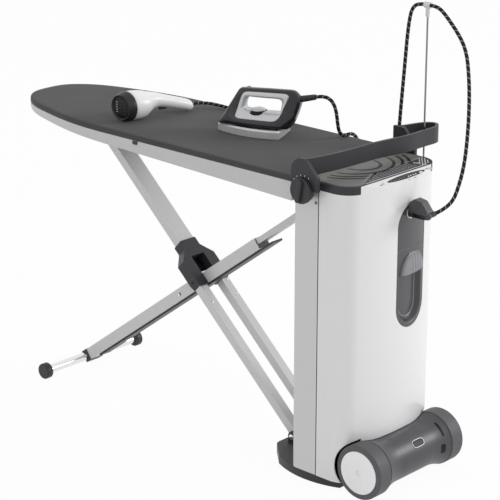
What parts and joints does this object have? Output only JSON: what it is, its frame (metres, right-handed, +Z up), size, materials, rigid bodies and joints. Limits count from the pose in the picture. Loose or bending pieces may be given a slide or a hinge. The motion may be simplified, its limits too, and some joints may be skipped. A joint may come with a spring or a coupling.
{
  "type": "ironing system",
  "caption": "Ironing system: padded board on a lifting column and crossed legs, wheeled steam tower, steam iron and hand steamer with hoses.",
  "frame": {"origin": "on the floor, mid width, below the board-side face of the tower's column", "axes": "+X from the board towards the tower's wheels, -Y the side of the height knob, +Z up"},
  "size_m": [1.4713, 0.5343, 1.244],
  "materials": {
    "white_shell": "gloss white moulded plastic",
    "light_tray": "light grey moulded plastic",
    "dark_plastic": "dark grey moulded plastic",
    "olive_plastic": "olive grey heat resistant plastic",
    "black_plastic": "black moulded plastic",
    "display_glass": "dark display window",
    "aluminium": "satin anodised aluminium",
    "chrome": "chromed steel",
    "brushed_steel": "brushed steel",
    "sheet_steel": "grey painted sheet steel",
    "cover_fabric": "dark grey padded cotton cover",
    "tyre_rubber": "dark grey rubber",
    "hub_white": "white moulded plastic",
    "inlay_grey": "dark grey tinted plastic",
    "hose_braid": "dark grey braided sleeve",
    "button_grey": "light grey moulded plastic"
  },
  "bodies": {
    "tower": {"base_plate": "dark_plastic", "main_leg_pivot_pin": "chrome", "column_profile": "aluminium", "rear_panel": "dark_plastic", "housing_shell": "white_shell", "inlay_panel": "inlay_grey", "steam_plug": "black_plastic", "top_cap": "dark_plastic", "iron_rest": "olive_plastic", "vent_strip": "dark_plastic", "control_fascia": "white_shell", "display_window": "display_glass", "axle_housing": "dark_plastic", "axle": "brushed_steel", "boiler": "brushed_steel", "rod_fittings": "dark_plastic", "hose_rod": "chrome", "tower_hose": "hose_braid", "iron_hose_loop": "hose_braid"},
    "head": {"inner_column": "aluminium", "board_tray": "light_tray", "board_panel": "sheet_steel", "board_cover": "cover_fabric", "tray_clips": "dark_plastic", "leg_rail": "dark_plastic", "eye_bracket": "sheet_steel", "blower_housing": "dark_plastic", "handle_frame": "dark_plastic", "iron_hose_lead": "hose_braid", "steamer_hose_lead": "hose_braid", "steamer_hose_coil": "hose_braid", "steamer_connector": "black_plastic"},
    "tank": {"tank_body": "inlay_grey", "tank_front": "inlay_grey"},
    "power_button": {"power_button": "button_grey"},
    "steam_button": {"steam_button": "button_grey"},
    "near_wheel": {"near_tyre": "tyre_rubber", "near_hub": "hub_white"},
    "far_wheel": {"far_tyre": "tyre_rubber", "far_hub": "hub_white"},
    "main_leg": {"main_leg_tube": "aluminium", "lower_bars": "aluminium", "crossing_yoke": "dark_plastic", "crossing_pin": "chrome", "roller_tongue": "dark_plastic"},
    "support_leg": {"support_leg_outer": "aluminium", "support_leg_strip": "dark_plastic", "support_leg_ends": "dark_plastic", "foot_bar": "chrome", "foot_caps": "dark_plastic"},
    "inner_leg": {"support_leg_inner": "aluminium"},
    "fan": {"blower_fan": "dark_plastic"},
    "height_knob": {"height_knob": "dark_plastic"},
    "iron": {"iron_sole": "brushed_steel", "iron_body": "black_plastic"},
    "iron_dial": {"iron_dial": "dark_plastic"},
    "iron_steam_button": {"iron_steam_button": "button_grey"},
    "steamer": {"steamer_ring": "dark_plastic", "steamer_body": "white_shell"},
    "steamer_trigger": {"steamer_trigger": "dark_plastic"}
  },
  "joints": [
    {"name": "column_lift", "type": "slide", "parent": "tower", "child": "head", "axis": [0, 0, 1], "range_m": [0, 0.15], "deforming": ["iron_hose_loop"]},
    {"name": "main_leg_swing", "type": "hinge", "parent": "tower", "child": "main_leg", "pos_m": [-0.0955, 0, 0.042], "axis": [0, 1, 0], "range_deg": [0, 11.87]},
    {"name": "support_leg_swing", "type": "hinge", "parent": "main_leg", "child": "support_leg", "pos_m": [-0.48466, 0, 0.3981], "axis": [0, 1, 0], "range_deg": [-20.55, 0]},
    {"name": "support_leg_telescope", "type": "slide", "parent": "support_leg", "child": "inner_leg", "axis": [0.8054, 0, 0.5927], "range_m": [0, 0.0227]},
    {"name": "near_wheel_spin", "type": "hinge", "parent": "tower", "child": "near_wheel", "pos_m": [0.235, -0.15, 0.0755], "axis": [0, 1, 0], "continuous": true},
    {"name": "far_wheel_spin", "type": "hinge", "parent": "tower", "child": "far_wheel", "pos_m": [0.235, 0.15, 0.0755], "axis": [0, 1, 0], "continuous": true},
    {"name": "height_knob_turn", "type": "hinge", "parent": "head", "child": "height_knob", "pos_m": [0.062, -0.21, 0.82], "axis": [0, -1, 0], "range_deg": [0, 90]},
    {"name": "tank_slide", "type": "slide", "parent": "tower", "child": "tank", "axis": [1, 0, 0], "range_m": [0, 0.18]},
    {"name": "iron_lift", "type": "slide", "parent": "head", "child": "iron", "axis": [0, 0, 1], "range_m": [0, 0.1], "deforming": ["iron_hose_lead"]},
    {"name": "steamer_lift", "type": "slide", "parent": "head", "child": "steamer", "axis": [0, 0, 1], "range_m": [0, 0.05], "deforming": ["steamer_hose_lead"]},
    {"name": "iron_dial_turn", "type": "hinge", "parent": "iron", "child": "iron_dial", "pos_m": [-0.33037, 0.04574, 0.9], "axis": [0, 0, 1], "range_deg": [0, 270]},
    {"name": "iron_steam_press", "type": "slide", "parent": "iron", "child": "iron_steam_button", "axis": [0, 0, -1], "range_m": [0, 0.002], "stiffness_N_per_m": 800, "springref_m": -0.0005},
    {"name": "steamer_trigger_press", "type": "slide", "parent": "steamer", "child": "steamer_trigger", "axis": [0, 0, 1], "range_m": [0, 0.003], "stiffness_N_per_m": 800, "springref_m": -0.0005},
    {"name": "power_button_press", "type": "slide", "parent": "tower", "child": "power_button", "axis": [-0.6508, 0, -0.7593], "range_m": [0, 0.001], "stiffness_N_per_m": 800, "springref_m": -0.0005},
    {"name": "steam_button_press", "type": "slide", "parent": "tower", "child": "steam_button", "axis": [-0.6508, 0, -0.7593], "range_m": [0, 0.001], "stiffness_N_per_m": 800, "springref_m": -0.0005},
    {"name": "fan_spin", "type": "hinge", "parent": "head", "child": "fan", "pos_m": [-0.23, 0, 0.81], "axis": [0, 0, 1], "continuous": true}
  ],
  "couplings": [
    {"joint": "main_leg_swing", "follows": "column_lift", "rad_per_m": 1.38},
    {"joint": "support_leg_swing", "follows": "column_lift", "rad_per_m": -2.3893},
    {"joint": "support_leg_telescope", "follows": "column_lift", "ratio": 0.1508}
  ]
}
